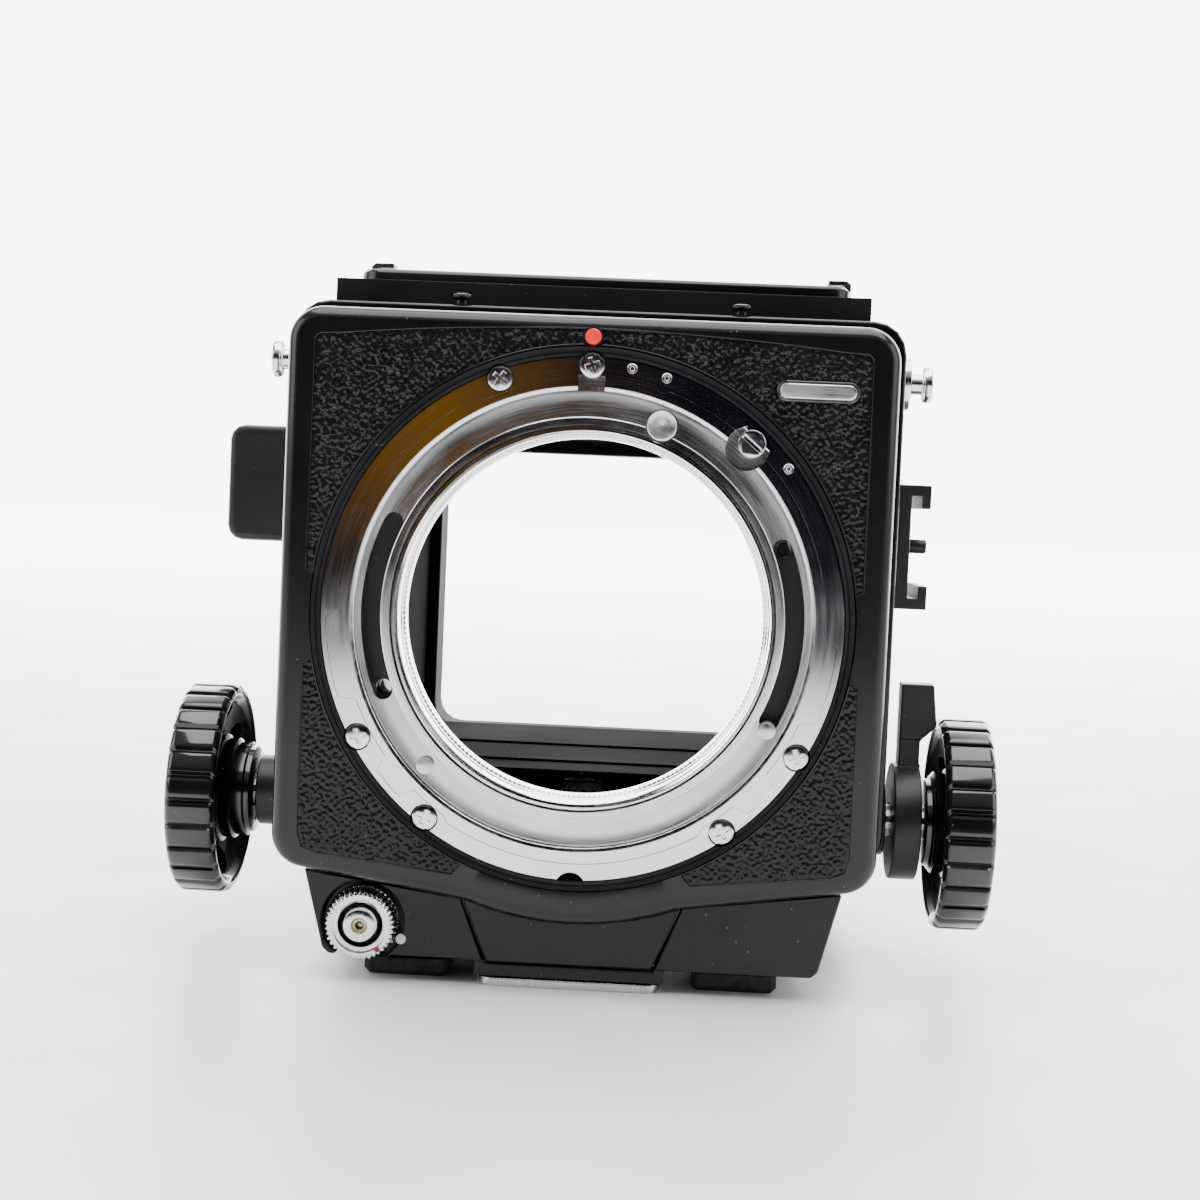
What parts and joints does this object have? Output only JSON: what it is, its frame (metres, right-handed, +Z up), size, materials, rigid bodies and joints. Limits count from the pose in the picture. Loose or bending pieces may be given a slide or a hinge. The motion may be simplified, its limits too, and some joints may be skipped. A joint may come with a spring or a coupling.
{
  "type": "medium-format single-lens reflex camera body",
  "caption": "Bare medium-format reflex camera body with a rack-focused front standard, bayonet lens mount, raised mirror, focusing knobs and a revolving back",
  "frame": {"origin": "a point on the flat underside of the tripod plate, on the lens axis's vertical plane, level with the feet", "axes": "+Z up, -Y out of the lens mount towards the subject, +X to the right as seen from the front"},
  "size_m": [0.1501, 0.116, 0.1301],
  "materials": {
    "painted_gloss": "glossy black enamel",
    "painted_satin": "satin black paint",
    "painted_matte": "matte black anti-reflection paint",
    "leatherette": "fine horizontal pebble grain, semi-gloss",
    "chrome": "polished chrome plate",
    "steel": "satin steel",
    "dark_steel": "blackened steel",
    "knob_black": "glossy black moulded plastic",
    "foot_rubber": "matte black rubber",
    "bellows_cloth": "matte black bellows cloth",
    "screen_glass": "ground glass",
    "mirror_silver": "front-silvered mirror",
    "index_red": "red enamel"
  },
  "bodies": {
    "main_body": {"mirror_box": "painted_matte", "front_frame": "painted_gloss", "rear_frame": "painted_satin", "side_cover_left": "painted_satin", "side_cover_right": "painted_satin", "top_deck": "painted_satin", "base_casting": "painted_satin", "tripod_plate": "steel", "foot_front_left": "foot_rubber", "foot_front_right": "foot_rubber", "foot_rear_left": "foot_rubber", "foot_rear_right": "foot_rubber", "finder_front_plate": "painted_matte", "finder_post_left": "painted_satin", "finder_post_right": "painted_satin", "screen_frame": "painted_gloss", "focusing_screen": "screen_glass", "guide_rail_left": "steel", "guide_rail_right": "steel", "shaft_bush_left": "dark_steel", "shaft_bush_right": "dark_steel", "strap_lug_left": "chrome", "strap_lug_right": "chrome", "accessory_shoe": "painted_satin", "bellows": "bellows_cloth", "release_spring": "steel"},
    "front_standard": {"front_plate": "painted_gloss", "leather_top": "leatherette", "leather_lower_left": "leatherette", "leather_lower_right": "leatherette", "index_dot": "index_red", "bezel_ring": "painted_matte", "mount_flange": "chrome", "throat_ring": "chrome", "mount_screw_1": "steel", "mount_screw_2": "steel", "mount_screw_3": "steel", "mount_screw_4": "steel", "mount_screw_5": "steel", "mount_screw_6": "steel", "focus_carriage": "painted_satin", "focus_rack": "steel"},
    "cocking_ring": {"cocking_ring": "dark_steel"},
    "shutter_pin": {"shutter_pin": "steel"},
    "focus_shaft": {"focus_shaft": "steel", "focus_pinion": "steel", "focus_knob_left": "knob_black", "focus_knob_right": "knob_black"},
    "focus_lock": {"focus_lock_lever": "painted_satin"},
    "release_collar": {"release_collar": "chrome"},
    "release_button": {"release_button": "chrome"},
    "cocking_lever": {"cocking_lever": "painted_satin"},
    "mirror": {"mirror_holder": "painted_matte", "mirror_glass": "mirror_silver"},
    "capping_flap": {"capping_flap": "painted_matte"},
    "revolving_back": {"revolving_adapter": "painted_satin"},
    "back_lock_left": {"back_lock_slide_left": "dark_steel"},
    "back_lock_right": {"back_lock_slide_right": "dark_steel"},
    "finder_catch_left": {"finder_catch_left": "dark_steel"},
    "finder_catch_right": {"finder_catch_right": "dark_steel"}
  },
  "joints": [
    {"name": "focus_slide", "type": "slide", "parent": "main_body", "child": "front_standard", "axis": [0, -1, 0], "range_m": [0, 0.046], "deforming": ["bellows"]},
    {"name": "focus_turn", "type": "hinge", "parent": "main_body", "child": "focus_shaft", "pos_m": [0, -0.021, 0.0285], "axis": [-1, 0, 0], "range_deg": [0, 560]},
    {"name": "focus_lock_turn", "type": "hinge", "parent": "main_body", "child": "focus_lock", "pos_m": [0.0593, -0.021, 0.0285], "axis": [1, 0, 0], "range_deg": [0, 40]},
    {"name": "cocking_ring_turn", "type": "hinge", "parent": "front_standard", "child": "cocking_ring", "pos_m": [0, -0.049, 0.065], "axis": [0, 1, 0], "range_deg": [0, 47]},
    {"name": "shutter_pin_slide", "type": "slide", "parent": "front_standard", "child": "shutter_pin", "axis": [0, -1, 0], "range_m": [0, 0.002], "stiffness_N_per_m": 60},
    {"name": "release_lock_turn", "type": "hinge", "parent": "main_body", "child": "release_collar", "pos_m": [-0.0363, -0.049, 0.0102], "axis": [0, 1, 0], "range_deg": [0, 60]},
    {"name": "release_press", "type": "slide", "parent": "main_body", "child": "release_button", "axis": [0, 1, 0], "range_m": [0, 0.003], "stiffness_N_per_m": 150, "deforming": ["release_spring"]},
    {"name": "cocking_stroke", "type": "hinge", "parent": "main_body", "child": "cocking_lever", "pos_m": [-0.058, 0.006, 0.059], "axis": [1, 0, 0], "range_deg": [0, 60], "stiffness_Nm_per_rad": 0.12},
    {"name": "mirror_flip", "type": "hinge", "parent": "main_body", "child": "mirror", "pos_m": [0, 0.041, 0.1025], "axis": [1, 0, 0], "range_deg": [0, 45], "stiffness_Nm_per_rad": 0.15, "springref_deg": -20.05},
    {"name": "flap_swing", "type": "hinge", "parent": "main_body", "child": "capping_flap", "pos_m": [0, 0.0423, 0.0986], "axis": [1, 0, 0], "range_deg": [0, 90]},
    {"name": "back_revolve", "type": "hinge", "parent": "main_body", "child": "revolving_back", "pos_m": [0, 0.048, 0.065], "axis": [0, 1, 0], "range_deg": [-90, 90]},
    {"name": "back_lock_left_slide", "type": "slide", "parent": "revolving_back", "child": "back_lock_left", "axis": [-1, 0, 0], "range_m": [0, 0.003]},
    {"name": "back_lock_right_slide", "type": "slide", "parent": "revolving_back", "child": "back_lock_right", "axis": [1, 0, 0], "range_m": [0, 0.003]},
    {"name": "finder_catch_left_tilt", "type": "hinge", "parent": "main_body", "child": "finder_catch_left", "pos_m": [-0.0464, 0.0045, 0.1209], "axis": [0, -1, 0], "range_deg": [0, 12], "stiffness_Nm_per_rad": 0.02},
    {"name": "finder_catch_right_tilt", "type": "hinge", "parent": "main_body", "child": "finder_catch_right", "pos_m": [0.0464, 0.0045, 0.1209], "axis": [0, 1, 0], "range_deg": [0, 12], "stiffness_Nm_per_rad": 0.02}
  ],
  "couplings": [
    {"joint": "focus_turn", "follows": "focus_slide", "rad_per_m": 208.33},
    {"joint": "cocking_ring_turn", "follows": "mirror_flip", "ratio": 1},
    {"joint": "flap_swing", "follows": "mirror_flip", "ratio": 2}
  ]
}
